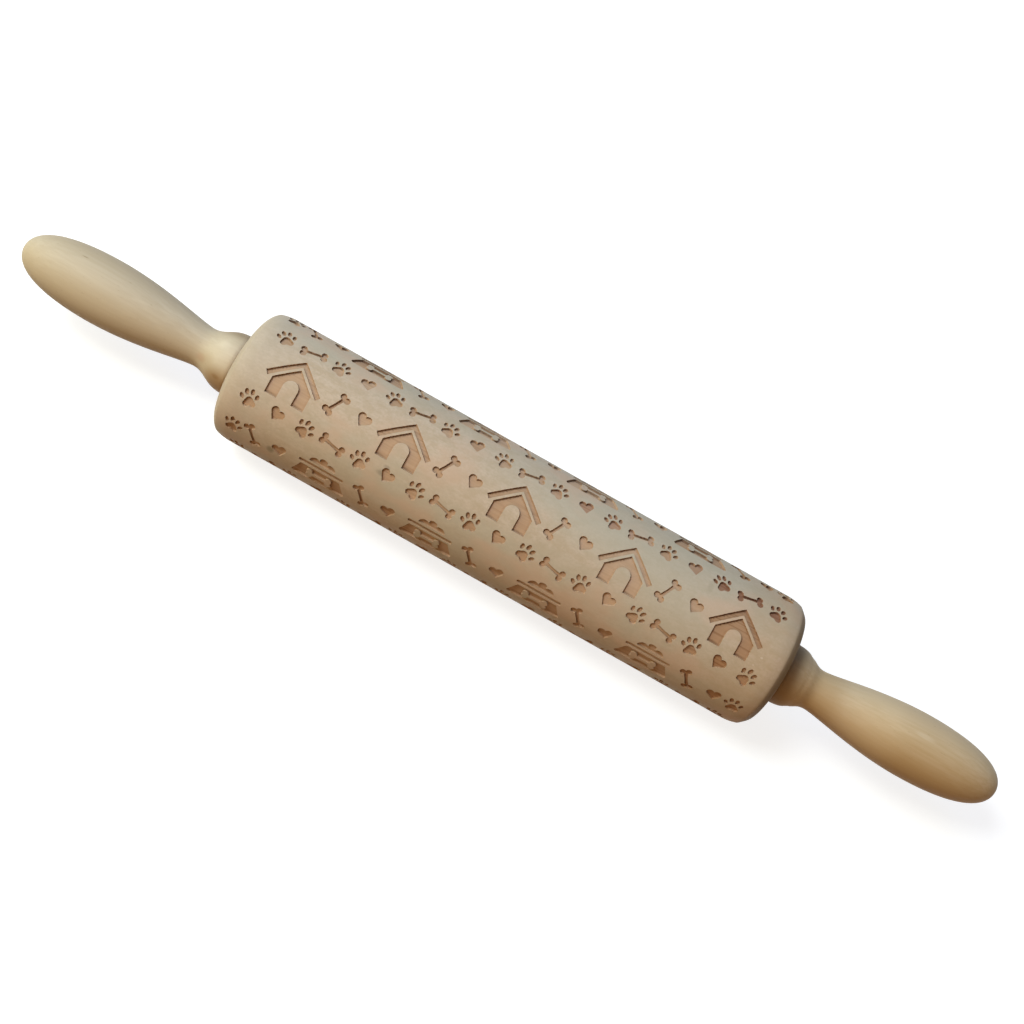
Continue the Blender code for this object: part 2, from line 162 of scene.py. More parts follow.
# Bone, paw and heart
BONE_LENGTH = 0.0108
BONE_KNOB_RADIUS = 0.0013
BONE_KNOB_SPREAD = 0.00115
BONE_NECK = 0.00075
BONE_WAIST = 0.00062
PAD_LOBE_RADIUS = 0.0013
PAD_LOBE_SPREAD = 0.0013
PAD_LOBE_HEIGHT = -0.0020
PAD_TOP_RADIUS = 0.00155
PAD_TOP_HEIGHT = -0.00065
PAD_NOTCH_HEIGHT = -0.0029
PAD_LOBE_ANGLES = (-115, 25)
PAD_TOP_ANGLES = (35, 145)
HEART_LOBE_RADIUS = 0.0016
HEART_LOBE_SPREAD = 0.00142
HEART_LOBE_HEIGHT = 0.0008
HEART_TIP = -0.0030

# Right toes of the paw: place, height, half width, half length, lean in degrees
OUTER_TOE = (0.0030, 0.00085, 0.0008, 0.0012, 25)
INNER_TOE = (0.00115, 0.00265, 0.00085, 0.0013, 8)

# Room that each small motif needs along the axis, to each side of its middle
SMALL_HALF_WIDTHS = {"bone": 0.0054, "paw": 0.0038, "heart": 0.0030}

# Small motifs of one cell: kind, share of the column pitch, share of the row pitch, turn in degrees
CELL_SHARES = (
    ("bone", 0.375, 0.0, 62),
    ("heart", 0.625, 0.0, -14),
    ("bone", 0.0, 0.5, 14),
    ("paw", 0.25, 0.5, -18),
    ("heart", 0.5, 0.5, 20),
    ("paw", 0.75, 0.5, 28),
)

# Mesh: steps of whole turns and of arcs, points of curves, and when edges are crisp or points are one
ROLLER_STEPS = 180
HANDLE_STEPS = 144
ARC_STEPS = 12
KNOB_STEPS = 18
TOE_STEPS = 24
HEART_STEPS = 16
DOOR_STEPS = 20
BOWL_CORNER_STEPS = 6
BOWL_RIM_STEPS = 10
HEAP_TOP_STEPS = 8
CREST_POINTS = 9
RIM_CURVE_POINTS = 24
COLLAR_CURVE_POINTS = 64
GRIP_CURVE_POINTS = 32
TIP_CURVE_POINTS = 40
SMOOTH_ANGLE = math.radians(35)
LEAST_LENGTH = 1e-7
WELD_DISTANCE = 1e-6

# Material slots of the roller's mesh
LAND_SLOT = 0
POCKET_SLOT = 1

# Camera: the pin's axis falls to the right in the picture, and its middle lies off the picture's centre
PICTURE_WIDTH = 1024
SENSOR_WIDTH = 36.0
CLIP_START = 0.01
CAMERA_DISTANCE = 0.48
CAMERA_ELEVATION = math.radians(55)
CAMERA_TURN = math.radians(0.26)
CAMERA_ROLL = math.radians(29.34)
FOCAL_PIXELS = 1210.6
PIN_OFFSET_PIXELS = (-3.15, 6.45)

# Lamps: name, direction to the lamp in the view's right, up and back, distance, size, power, colour
LAMPS = (
    ("key_lamp", (-0.56, 0.37, 0.74), 1.7, 0.70, 22.0, (0.90, 0.97, 1.0)),
    ("side_lamp", (-0.90, 0.10, 0.42), 1.0, 0.45, 2.3, (1.0, 0.95, 0.40)),
    ("top_lamp", (-0.15, 0.90, 0.40), 1.2, 0.8, 3.3, (0.19, 0.45, 1.0)),
    ("low_lamp", (0.0, -0.60, 0.75), 1.2, 0.7, 3.2, (1.0, 0.50, 0.18)),
    ("back_lamp", (0.05, 0.98, 0.10), 1.3, 0.8, 0.5, (1.0, 0.95, 0.85)),
)

# Surround and floor. The floor's glow rises from its lift to its far lift between two distances.
WORLD_COLOUR = (1.0, 0.85, 0.60)
WORLD_STRENGTH = 0.125
FLOOR_BOUNCE = (0.045, 0.028, 0.008)
FLOOR_COLOUR = (0.42, 0.42, 0.42, 1.0)
FLOOR_ROUGHNESS = 0.9
FLOOR_SIZE = 12
FLOOR_LIFT = 0.80
FAR_FLOOR_LIFT = 1.0
FLOOR_LIFT_PLACES = (0.35, 1.1)


def srgb(red, green, blue):
    """A colour as it shows on screen, from 0 to 255, as linear light."""
    values = []
    for value in (red, green, blue):
        share = value / 255
        linear = share / 12.92 if share <= 0.04045 else ((share + 0.055) / 1.055) ** 2.4
        values.append(linear)
    return (*values, 1.0)


# Outlines of the motifs. Each runs anticlockwise round its own middle.


def arc(centre, radius, first, last, steps=ARC_STEPS):
    """Points on an arc from one angle to another, in degrees, ends included."""
    angles = np.radians(np.linspace(first, last, steps + 1))
    return np.column_stack([centre[0] + radius * np.cos(angles), centre[1] + radius * np.sin(angles)])


def mirrored(points):
    """The same outline seen in a mirror, still anticlockwise."""
    return (points * (-1, 1))[::-1]


def turned(points, degrees):
    """The outline turned anticlockwise about the origin."""
    angle = math.radians(degrees)
    spin = np.array([[math.cos(angle), math.sin(angle)], [-math.sin(angle), math.cos(angle)]])
    return points @ spin


def split_long_edges(points):
    """Adds points on long straight edges, so that a floor's shading can change along them."""
    out = []
    for start, end in zip(points, np.roll(points, -1, axis=0)):
        pieces = max(1, math.ceil(np.linalg.norm(end - start) / LONGEST_EDGE))
        out += [start + (end - start) * index / pieces for index in range(pieces)]
    return np.array(out)


def bone_outline():
    """Two knobs at each end of a waisted shaft."""
    reach = BONE_LENGTH / 2 - BONE_KNOB_RADIUS
    cleft = math.degrees(math.asin(BONE_KNOB_SPREAD / BONE_KNOB_RADIUS))
    joint = math.degrees(math.asin((BONE_KNOB_SPREAD - BONE_NECK) / BONE_KNOB_RADIUS))
    upper = arc((reach, BONE_KNOB_SPREAD), BONE_KNOB_RADIUS, -cleft, 180 + joint, KNOB_STEPS)
    lower = (upper * (1, -1))[::-1]
    half = np.vstack([lower, upper[1:], [(0, BONE_WAIST)]])
    return np.vstack([half, -half])


def toe_outline(place, height, half_width, half_length, lean):
    """An oval that leans outwards."""
    angles = np.radians(np.arange(0, 360, 360 / TOE_STEPS))
    oval = np.column_stack([half_width * np.cos(angles), half_length * np.sin(angles)])
    return turned(oval, -lean) + (place, height)


def paw_outlines():
    """A three-lobed pad under four toes."""
    right = arc((PAD_LOBE_SPREAD, PAD_LOBE_HEIGHT), PAD_LOBE_RADIUS, *PAD_LOBE_ANGLES)
    top = arc((0, PAD_TOP_HEIGHT), PAD_TOP_RADIUS, *PAD_TOP_ANGLES)
    pad = np.vstack([right, top, mirrored(right), [(0, PAD_NOTCH_HEIGHT)]])
    toes = [toe_outline(*OUTER_TOE), toe_outline(*INNER_TOE)]
    return [pad, *toes, *map(mirrored, toes)]


def heart_outline():
    """Two lobes that run into a point along their tangents."""
    across, rise = HEART_LOBE_SPREAD, HEART_LOBE_HEIGHT - HEART_TIP
    half_point = math.asin(HEART_LOBE_RADIUS / math.hypot(across, rise))
    lean = math.degrees(math.atan2(rise, across) - half_point)
    cleft = math.degrees(math.acos(-HEART_LOBE_SPREAD / HEART_LOBE_RADIUS))
    right = arc((across, HEART_LOBE_HEIGHT), HEART_LOBE_RADIUS, lean - 90, cleft, HEART_STEPS)
    return np.vstack([right, mirrored(right)[1:], [(0, HEART_TIP)]])


def kennel_outlines():
    """A roof over a gabled body whose arched doorway stays raised."""
    slope = (ROOF_TOP - EAVE_HEIGHT) / EAVE_HALF_WIDTH
    stretch = math.hypot(1, slope)
    drop = ROOF_THICKNESS * stretch
    eave_across = ROOF_THICKNESS * slope / stretch
    eave = (EAVE_HALF_WIDTH - eave_across, EAVE_HEIGHT - ROOF_THICKNESS / stretch)
    roof_half = np.array([(0, ROOF_TOP - drop), eave, (EAVE_HALF_WIDTH, EAVE_HEIGHT), (0, ROOF_TOP)])
    roof = np.vstack([roof_half, mirrored(roof_half)[1:-1]])
    gable_top = ROOF_TOP - drop - ROOF_GAP * stretch
    doorway = arc((0, DOOR_SPRING), DOOR_RADIUS, 180, 0, DOOR_STEPS)
    walls = [
        (-KENNEL_HALF_WIDTH, KENNEL_BASE),
        (-DOOR_RADIUS, KENNEL_BASE),
        *doorway,
        (DOOR_RADIUS, KENNEL_BASE),
        (KENNEL_HALF_WIDTH, KENNEL_BASE),
        (KENNEL_HALF_WIDTH, gable_top - KENNEL_HALF_WIDTH * slope),
        (0, gable_top),
        (-KENNEL_HALF_WIDTH, gable_top - KENNEL_HALF_WIDTH * slope),
    ]
    return [roof, np.array(walls)]


def bowl_outlines():
    """A wide-footed bowl, its rim and a heap of food, each apart from the next."""
    corner = (BOWL_BASE_HALF_WIDTH - BOWL_CORNER, BOWL_BASE + BOWL_CORNER)
    rounding = arc(corner, BOWL_CORNER, -90, 0, BOWL_CORNER_STEPS)
    body_half = np.vstack([rounding, [(BOWL_TOP_HALF_WIDTH, BOWL_TOP)]])
    body = np.vstack([body_half, mirrored(body_half)])
    rim_radius = (RIM_TOP - RIM_BASE) / 2
    rim_end = (RIM_HALF_WIDTH - rim_radius, RIM_BASE + rim_radius)
    rim_half = arc(rim_end, rim_radius, -90, 90, BOWL_RIM_STEPS)
    rim = np.vstack([rim_half, mirrored(rim_half)])
    side = math.degrees(math.acos(HEAP_LUMP_PITCH / 2 / HEAP_LUMP_RADIUS))
    top = (0, HEAP_BASE + HEAP_LUMP_RADIUS / 2)
    middle = arc(top, HEAP_LUMP_RADIUS, side, 180 - side, HEAP_TOP_STEPS)
    outer = arc((HEAP_LUMP_PITCH, HEAP_BASE), HEAP_LUMP_RADIUS, 0, 180 - side)
    heap = np.vstack([outer, middle, mirrored(outer)])
    return [body, rim, heap]


def motif(kind):
    """The outlines of a motif's pockets and of the islands left raised in them."""
    if kind == "kennel":
        return kennel_outlines(), []
    if kind == "bowl":
        return bowl_outlines(), [bone_outline() + (0, BOWL_SIGN_PLACE)]
    if kind == "paw":
        return paw_outlines(), []
    if kind == "heart":
        return [heart_outline()], []
    return [bone_outline()], []


# Layout of the pattern on the unrolled skin, where x runs along the axis and y round the roller

GIRTH = math.tau * ROLLER_RADIUS
ROW_PITCH = GIRTH / ROWS


def large_motif_places():
    """Kind, place along the axis, place round the roller and turn of every large motif."""
    places = []
    for row in range(ROWS):
        shift = COLUMN_PITCH / 2 * (row % 2)
        for column in COLUMNS:
            along = column * COLUMN_PITCH + shift
            if abs(along) + EAVE_HALF_WIDTH < PATTERN_REACH:
                places.append((("kennel", "bowl")[row % 2], along, row * ROW_PITCH, 0))
    return places


def small_motif_places():
    """The same of every small motif. Each second row also has a paw near both ends."""
    places = []
    for row in range(ROWS):
        odd = row % 2
        for column in COLUMNS:
            for kind, along_share, round_share, turn in CELL_SHARES:
                along = (column + along_share + odd / 2) * COLUMN_PITCH
                around = (row + round_share) * ROW_PITCH
                if abs(along) + SMALL_HALF_WIDTHS[kind] < PATTERN_REACH:
                    places.append((kind, along, around, -turn if odd else turn))
        if odd:
            for side in (-1, 1):
                places.append(("paw", side * END_PAW_PLACE, row * ROW_PITCH, side * END_PAW_TURN))
    return places


def moved_inwards(points, distance):
    """An anticlockwise outline drawn in by a distance, corner by corner."""
    ahead = np.roll(points, -1, axis=0) - points
    ahead /= np.linalg.norm(ahead, axis=1, keepdims=True)
    behind = np.roll(ahead, 1, axis=0)
    normal = np.column_stack([-ahead[:, 1], ahead[:, 0]])
    normal_behind = np.column_stack([-behind[:, 1], behind[:, 0]])
    share = np.maximum(1 + (normal * normal_behind).sum(axis=1), SHARPEST_CORNER_SHARE)
    return points + (normal + normal_behind) * (distance / share)[:, None]


def inside(points, outline):
    """Which points lie in a closed outline."""
    x, y = points[:, 0, None], points[:, 1, None]
    x1, y1 = outline.T
    x2, y2 = np.roll(outline, -1, axis=0).T
    height = np.where(y2 == y1, 1, y2 - y1)
    crossed = ((y1 > y) != (y2 > y)) & (x < (x2 - x1) * (y - y1) / height + x1)
    return crossed.sum(axis=1) % 2 == 1


def offset_from(points, outline):
    """Each point's way from the nearest place on a closed outline."""
    start = outline
    along = np.roll(outline, -1, axis=0) - outline
    share = ((points[:, None] - start) * along).sum(axis=2) / (along**2).sum(axis=1)
    ways = points[:, None] - start - np.clip(share, 0, 1)[:, :, None] * along
    return ways[np.arange(len(points)), np.linalg.norm(ways, axis=2).argmin(axis=1)]


def distance_to(points, outline):
    """How far each point is from a closed outline."""
    return np.linalg.norm(offset_from(points, outline), axis=1)


def floor_points(pockets, islands, spacing):
    """A grid of points on the floors, clear of the walls. Its rows fit the skin's lengthwise lines."""
    found = []
    clearance = WALL_DRAFT + spacing * FLOOR_CLEARANCE_SHARE
    row_spacing = GIRTH / ROLLER_STEPS / round(GIRTH / ROLLER_STEPS / spacing)
    for pocket in pockets:
        low, high = pocket.min(axis=0), pocket.max(axis=0)
        columns = np.arange(low[0], high[0], spacing)
        rows = np.arange(math.ceil(low[1] / row_spacing), high[1] / row_spacing) * row_spacing
        grid = np.array(np.meshgrid(columns, rows)).reshape(2, -1).T
        keep = inside(grid, pocket) & (distance_to(grid, pocket) > clearance)
        for island in islands:
            keep &= ~inside(grid, island) & (distance_to(grid, island) > clearance)
        found.append(grid[keep])
    return np.vstack(found)


class Skin:
    """Collects the unrolled skin's points, edges and outlines, and triangulates them."""

    def __init__(self):
        self.points = []
        self.edges = []
        self.faces = []
        self.roles = []
        self.walls = []  # Outlines a little behind the walls, on the land, and how brown their motifs are

    def add_points(self, points):
        first = len(self.points)
        self.points.extend(map(tuple, points))
        return range(first, len(self.points))

    def add_outline(self, points, role):
        self.faces.append(list(self.add_points(points)))
        self.roles.append(role)

    def add_motif(self, kind, along, around, turn, burn):
        pockets, islands = motif(kind)
        place = (along, around)
        pockets = [split_long_edges(turned(pocket, turn)) + place for pocket in pockets]
        islands = [split_long_edges(turned(island, turn)) + place for island in islands]
        for pocket in pockets:
            self.add_outline(pocket, "rim")
            self.add_outline(moved_inwards(pocket, WALL_DRAFT), "floor")
        for island in islands:
            self.add_outline(moved_inwards(island, -WALL_DRAFT), "foot")
            self.add_outline(island, "island")
        self.walls.extend((moved_inwards(pocket, -WALL_DRAFT), burn) for pocket in pockets)
        self.walls.extend((moved_inwards(island, WALL_DRAFT), burn) for island in islands)
        large = kind in ("kennel", "bowl")
        self.add_points(floor_points(pockets, islands, LARGE_FLOOR_GRID if large else SMALL_FLOOR_GRID))

    def add_line(self, start, end):
        self.edges.append(tuple(self.add_points([start, end])))

    def triangulate(self):
        """Points, triangles and the kind of each triangle: land, wall or floor."""
        coords = [Vector(point) for point in self.points]
        result = delaunay_2d_cdt(coords, self.edges, self.faces, 0, LEAST_LENGTH)
        points, triangles, owners_of_triangles = result[0], result[2], result[5]
        kinds = []
        for owners in owners_of_triangles:
            roles = {self.roles[owner] for owner in owners}
            if "island" in roles or not roles:
                kinds.append("land")
            elif "foot" in roles or "floor" not in roles:
                kinds.append("wall")
            else:
                kinds.append("floor")
        return np.array([tuple(point) for point in points]), np.array(triangles), np.array(kinds)


def edge_fall(along):
    """How far the roller's skin lies below its full radius where its ends fall gently to a crest."""
    share = np.maximum(abs(along) - (ROLLER_HALF - EDGE_REACH), 0) / (EDGE_REACH - CREST_REACH)
    return EDGE_FALL * share**2


def motif_burn(along, chance):
    """How brown a motif is, from 0 to 1, by its place along the roller and by chance."""
    start, end = BURN_RIGHT_PLACES
    return BURN_LEAST + BURN_SPREAD * chance + BURN_RIGHT * np.clip((along - start) / (end - start), 0, 1)


def engraved_skin():
    """The roller's skin between its two ends, as one sheet of triangles."""
    skin = Skin()
    rng = np.random.default_rng(BURN_SEED)
    for kind, along, around, turn in large_motif_places() + small_motif_places():
        burn = motif_burn(along, rng.uniform())
        for lap in (-GIRTH, 0, GIRTH):
            if -ROW_PITCH < around + lap < GIRTH + ROW_PITCH:
                skin.add_motif(kind, along, around + lap, turn, burn)
    for step in range(ROLLER_STEPS + 1):
        around = GIRTH * step / ROLLER_STEPS
        skin.add_line((-SKIN_REACH, around), (SKIN_REACH, around))
    for ring in np.linspace(ROLLER_HALF - EDGE_REACH, SKIN_REACH, SKIN_RINGS):
        for along in (-ring, ring):
            skin.add_line((along, 0), (along, GIRTH))
    points, triangles, kinds = skin.triangulate()
    middles = points[triangles].mean(axis=1)
    keep = (abs(middles[:, 0]) < SKIN_REACH) & (middles[:, 1] > 0) & (middles[:, 1] < GIRTH)
    triangles, kinds = triangles[keep], kinds[keep]

    # A point where several kinds meet takes the depth of the last of them here
    depth = np.zeros(len(points))
    depth[np.unique(triangles[kinds == "wall"])] = ENGRAVING_DEPTH / 2
    depth[np.unique(triangles[kinds == "floor"])] = ENGRAVING_DEPTH
    depth[np.unique(triangles[kinds == "land"])] = 0
    scorch_and_shade, burn = char_shade_and_burn(points, np.unique(triangles[kinds != "land"]), skin.walls)
    return points, triangles, kinds, depth, scorch_and_shade, burn


def char_shade_and_burn(points, deep, walls):
    """Char with painted shade, from 0 to 1, at each wall or floor point, and how brown its nearest wall's
    motif is.
    """
    scorch_and_shade = np.zeros(len(points))
    burn = np.zeros(len(points))
    nearest = np.full(len(deep), 1.0)
    char_and_shade = np.zeros(len(deep))
    for wall, wall_burn in walls:
        low = wall.min(axis=0) - SCORCH_REACH
        high = wall.max(axis=0) + SCORCH_REACH
        near = np.flatnonzero(((points[deep] > low) & (points[deep] < high)).all(axis=1))
        if len(near):
            way = offset_from(points[deep[near]], wall)
            distance = np.linalg.norm(way, axis=1)
            facing = way @ SHADED_WALL_SIDE / np.maximum(distance, LEAST_LENGTH)
            closer = distance < nearest[near]
            nearest[near[closer]] = distance[closer]
            # Charring on every side, and painted shade on the walls that face away from the light
            char_and_shade[near[closer]] = FAR_SIDE_CHAR + (1 - FAR_SIDE_CHAR) * np.clip(facing[closer], 0, 1)
            burn[deep[near[closer]]] = wall_burn
    scorch_and_shade[deep] = np.clip(1 - (nearest - 2 * WALL_DRAFT) / SCORCH_REACH, 0, 1) * char_and_shade
    return scorch_and_shade, burn


def wrapped(points, depth):
    """Places of unrolled points on the roller, counted from the pattern's first row."""
    angle = points[:, 1] / ROLLER_RADIUS + PATTERN_TURN
    radius = ROLLER_RADIUS - edge_fall(points[:, 0]) - depth
    return np.column_stack([points[:, 0], -radius * np.cos(angle), radius * np.sin(angle)])


def lathe(outline, steps):
    """Rings of points and quads from an outline of (place along the axis, radius) points."""
    angles = np.arange(steps) / steps * math.tau + PATTERN_TURN
    points = [
        (place, -radius * math.cos(angle), radius * math.sin(angle))
        for place, radius in outline
        for angle in angles
    ]
    quads = []
    for near in range(0, (len(outline) - 1) * steps, steps):
        far = near + steps
        for step in range(steps):
            after = (step + 1) % steps
            quads.append((near + step, far + step, far + after, near + after))
    return points, quads


def quarter_ellipse(start, end):
    """Points from start to end, leaving start along the axis and reaching end along the radius."""
    points = []
    for step in range(ARC_STEPS + 1):
        angle = step / ARC_STEPS * math.pi / 2
        place = start[0] + (end[0] - start[0]) * math.sin(angle)
        radius = start[1] + (end[1] - start[1]) * (1 - math.cos(angle))
        points.append((place, radius))
    return points


def curve(start, start_handle, end_handle, end, count):
    """Points of a smooth curve that leaves its start and reaches its end towards the two handles."""
    corners = [Vector((*corner, 0)) for corner in (start, start_handle, end_handle, end)]
    return [(point.x, point.y) for point in interpolate_bezier(*corners, count)]


def roller_end_outline(is_right):
    """From the skin's edge over the crest and down the end's bevel or rounding to the bore."""
    recess_radius = FLANGE_RADIUS + SEAT_GAP
    recess_floor = ROLLER_HALF - FLANGE_THICKNESS - SEAT_GAP
    socket_radius = BUSH_RADIUS + SEAT_GAP
    socket_floor = BUSH_END - SEAT_GAP
    crest = (ROLLER_HALF - CREST_REACH, ROLLER_RADIUS - EDGE_FALL)
    if is_right:
        corner = (ROLLER_HALF, crest[1] - CREST_REACH * math.tan(BEVEL_ANGLE))
        curve_handles = (corner, corner)
        rim = (ROLLER_HALF, crest[1] - BEVEL_FALL)
    else:
        curve_handles = [(crest[0] + reach, crest[1] - fall) for reach, fall in ROUND_CURVE_HANDLES]
        rim = (ROLLER_HALF, crest[1] - ROUND_FALL)
    places = np.linspace(SKIN_REACH, crest[0], CREST_POINTS)
    outline = [(place, ROLLER_RADIUS - edge_fall(place)) for place in places]
    outline += curve(crest, *curve_handles, rim, RIM_CURVE_POINTS)[1:]
    outline += [
        (ROLLER_HALF, recess_radius),
        (recess_floor, recess_radius),
        (recess_floor, socket_radius),
        (socket_floor, socket_radius),
        (socket_floor, ROLLER_BORE_RADIUS),
    ]
    return outline


def crease(place):
    """The depth of the soft line that the turner's chisel left where the collar's bead ends."""
    return CREASE_DEPTH * math.exp(-(((place - CREASE_PLACE) / CREASE_HALF_WIDTH) ** 2))


def handle_outline(is_right):
    """From the hole's drilled tip out to the collar, over the neck and the belly to the rounded tip."""
    collar_tangent_share = RIGHT_COLLAR_TANGENT_SHARE if is_right else LEFT_COLLAR_TANGENT_SHARE
    seat_radius = INSERT_RADIUS + SEAT_GAP
    thread_radius = AXLE_END_RADIUS + SEAT_GAP
    seat_floor = INSERT_END - COLLAR_PLACE + SEAT_GAP
    hole_floor = seat_floor + AXLE_PAST_INSERT
    tip_stretch = HANDLE_LENGTH - BELLY_PLACE
    grip_stretch = BELLY_PLACE - NECK_PLACE
    collar_stretch = NECK_PLACE - COLLAR_EDGE_REACH
    hole = [
        (hole_floor + thread_radius * DRILL_TIP_SHARE, 0),
        (hole_floor, thread_radius),
        (seat_floor, thread_radius),
        (seat_floor, seat_radius),
        (0, seat_radius),
    ]
    collar_start = (COLLAR_EDGE_REACH, COLLAR_RADIUS)
    edge = quarter_ellipse(collar_start, (0, COLLAR_RADIUS - COLLAR_EDGE_FALL))
    collar = curve(
        collar_start,
        (COLLAR_EDGE_REACH + collar_stretch * collar_tangent_share, COLLAR_RADIUS),
        (NECK_PLACE - collar_stretch * NECK_INNER_TANGENT_SHARE, NECK_RADIUS),
        (NECK_PLACE, NECK_RADIUS),
        COLLAR_CURVE_POINTS,
    )
    if is_right:
        collar = [(place, radius - crease(place)) for place, radius in collar]
    grip = curve(
        (NECK_PLACE, NECK_RADIUS),
        (NECK_PLACE + grip_stretch * NECK_OUTER_TANGENT_SHARE, NECK_RADIUS),
        (BELLY_PLACE - grip_stretch * BELLY_INNER_TANGENT_SHARE, BELLY_RADIUS),
        (BELLY_PLACE, BELLY_RADIUS),
        GRIP_CURVE_POINTS,
    )
    end = curve(
        (BELLY_PLACE, BELLY_RADIUS),
        (BELLY_PLACE + tip_stretch * BELLY_OUTER_TANGENT_SHARE, BELLY_RADIUS),
        (HANDLE_LENGTH, BELLY_RADIUS * TIP_TANGENT_SHARE),
        (HANDLE_LENGTH, 0),
        TIP_CURVE_POINTS,
    )
    return hole + edge[::-1] + collar[1:] + grip[1:] + end[1:]


def add_mesh(name, points, faces, materials):
    """A new object in the scene, made of points and faces."""
    mesh = bpy.data.meshes.new(name)
    points = [tuple(map(float, point)) for point in points]
    faces = [tuple(map(int, face)) for face in faces]
    mesh.from_pydata(points, [], faces)
    for material in materials:
        mesh.materials.append(material)
    piece = bpy.data.objects.new(name, mesh)
    bpy.context.scene.collection.objects.link(piece)
    return piece


def weld_and_smooth(piece):
    """Joins the parts of a mesh where they meet and shades it smooth, with real edges kept crisp."""
    form = bmesh.new()
    form.from_mesh(piece.data)
    bmesh.ops.remove_doubles(form, verts=form.verts, dist=WELD_DISTANCE)
    bmesh.ops.dissolve_degenerate(form, edges=form.edges, dist=LEAST_LENGTH)
    bmesh.ops.recalc_face_normals(form, faces=form.faces)
    form.to_mesh(piece.data)
    form.free()
    piece.data.shade_smooth()
    piece.data.set_sharp_from_angle(angle=SMOOTH_ANGLE)


def make_roller(wood, engraved):
    """The engraved skin, its two ends and the stepped bore, as one closed mesh."""
    skin_points, triangles, kinds, depth, scorch_and_shade, burn = engraved_skin()
    points = list(wrapped(skin_points, depth))
    faces = [tuple(triangle) for triangle in triangles]
    slots = [LAND_SLOT if kind == "land" else POCKET_SLOT for kind in kinds]
    right = roller_end_outline(True)
    left = [(-place, radius) for place, radius in roller_end_outline(False)]
    for outline in (right, left, [right[-1], left[-1]]):
        ring_points, quads = lathe(outline, ROLLER_STEPS)
        first = len(points)
        points += ring_points
        faces += [tuple(corner + first for corner in quad) for quad in quads]
        slots += [LAND_SLOT] * len(quads)
    roller = add_mesh("engraved_roller", points, faces, (wood, engraved))
    roller.data.polygons.foreach_set("material_index", slots)
    for name, values in (("scorch_and_shade", scorch_and_shade), ("burn", burn)):
        layer = roller.data.attributes.new(name, "FLOAT", "POINT")
        layer.data.foreach_set("value", np.pad(values, (0, len(points) - len(values))))
    weld_and_smooth(roller)
    return roller


def make_handle(name, side, wood):
    outline = [(side * (COLLAR_PLACE + place), radius) for place, radius in handle_outline(side > 0)]
    points, quads = lathe(outline, HANDLE_STEPS)
    handle = add_mesh(name, points, quads, (wood,))
    weld_and_smooth(handle)
    return handle


# Materials


def view_point(along, turn, radius=ROLLER_RADIUS):
    """A point on a round piece, at a place along its axis and some degrees up from the view's middle line."""
    tilt = CAMERA_ELEVATION + math.radians(turn)
    return (along, -radius * math.cos(tilt), radius * math.sin(tilt))


# Soft spots on the wood: centre, size along X, Y and Z, strength, colour. Some are marks of use; those noted
# below are painted light and painted shade.
ROLLER_MARKS_AND_PAINTED_LIGHT = (
    (view_point(-0.0498, -18.0), (0.0030, 0.0016, 0.0016), 0.45, srgb(112, 100, 88)),
    (view_point(-0.0491, -11.7), (0.0020, 0.0012, 0.0012), 0.35, srgb(112, 100, 88)),
    (view_point(-0.0926, -52.0), (0.0024, 0.0026, 0.0026), 0.55, srgb(104, 92, 58)),
    (view_point(0.0792, 32.6), (0.0016, 0.0040, 0.0040), 0.25, srgb(150, 140, 118)),
    (view_point(0.1080, 2.0), (0.0008, 0.0006, 0.0006), 0.6, srgb(226, 214, 196)),
    (view_point(0.1065, -6.0), (0.0006, 0.0005, 0.0005), 0.5, srgb(224, 212, 194)),
    # The next four spots are painted shade and painted light: browner towards the right end and darkest on
    # its bevel, which faces away from the light, paler towards the left end and on its rounding, which faces
    # the light
    ((0.1130, 0, 0), (0.0300, 0.0900, 0.0900), 0.28, srgb(176, 142, 98)),
    ((0.1198, 0, 0), (0.0042, 0.2000, 0.2000), 0.80, srgb(116, 92, 58)),
    ((-0.1198, 0, 0), (0.0040, 0.2000, 0.2000), 0.50, srgb(184, 168, 148)),
    ((-0.1160, 0, 0), (0.0300, 0.0900, 0.0900), 0.30, srgb(196, 184, 168)),
)
ENGRAVING_MARKS = (
    (view_point(0.0960, 44.0), (0.0380, 0.0110, 0.0110), 0.50, srgb(116, 58, 44)),
    (view_point(0.0300, 44.0), (0.0300, 0.0080, 0.0080), 0.25, srgb(150, 92, 78)),
)
LEFT_HANDLE_MARKS_AND_PAINTED_LIGHT = (
    (view_point(-0.1266, -38.5, 0.0125), (0.0024, 0.0015, 0.0015), 0.45, srgb(112, 80, 48)),
    (view_point(-0.1354, -27.0, 0.0090), (0.0040, 0.0026, 0.0026), 0.25, srgb(170, 112, 84)),
    (view_point(-0.1930, 36.8, 0.0135), (0.0022, 0.0003, 0.0003), 0.5, srgb(120, 92, 60)),
    # The next five spots are painted light and painted shade: paler in the collar's middle and just above it,
    # darker on its lower side and on its upper edge beside the roller, where the roller's shadow falls
    (view_point(-0.1290, 8, 0.0128), (0.0100, 0.0110, 0.0110), 0.45, srgb(218, 206, 184)),
    (view_point(-0.1330, -18, 0.0115), (0.0050, 0.0040, 0.0040), 0.25, srgb(176, 150, 112)),
    (view_point(-0.1295, 25, 0.0120), (0.0040, 0.0030, 0.0030), 0.25, srgb(228, 216, 194)),
    (view_point(-0.1270, 72, 0.0128), (0.0110, 0.0065, 0.0065), 0.5, srgb(124, 100, 70)),
    (view_point(-0.1262, -54, 0.0128), (0.0090, 0.0095, 0.0095), 0.7, srgb(150, 112, 66)),
)
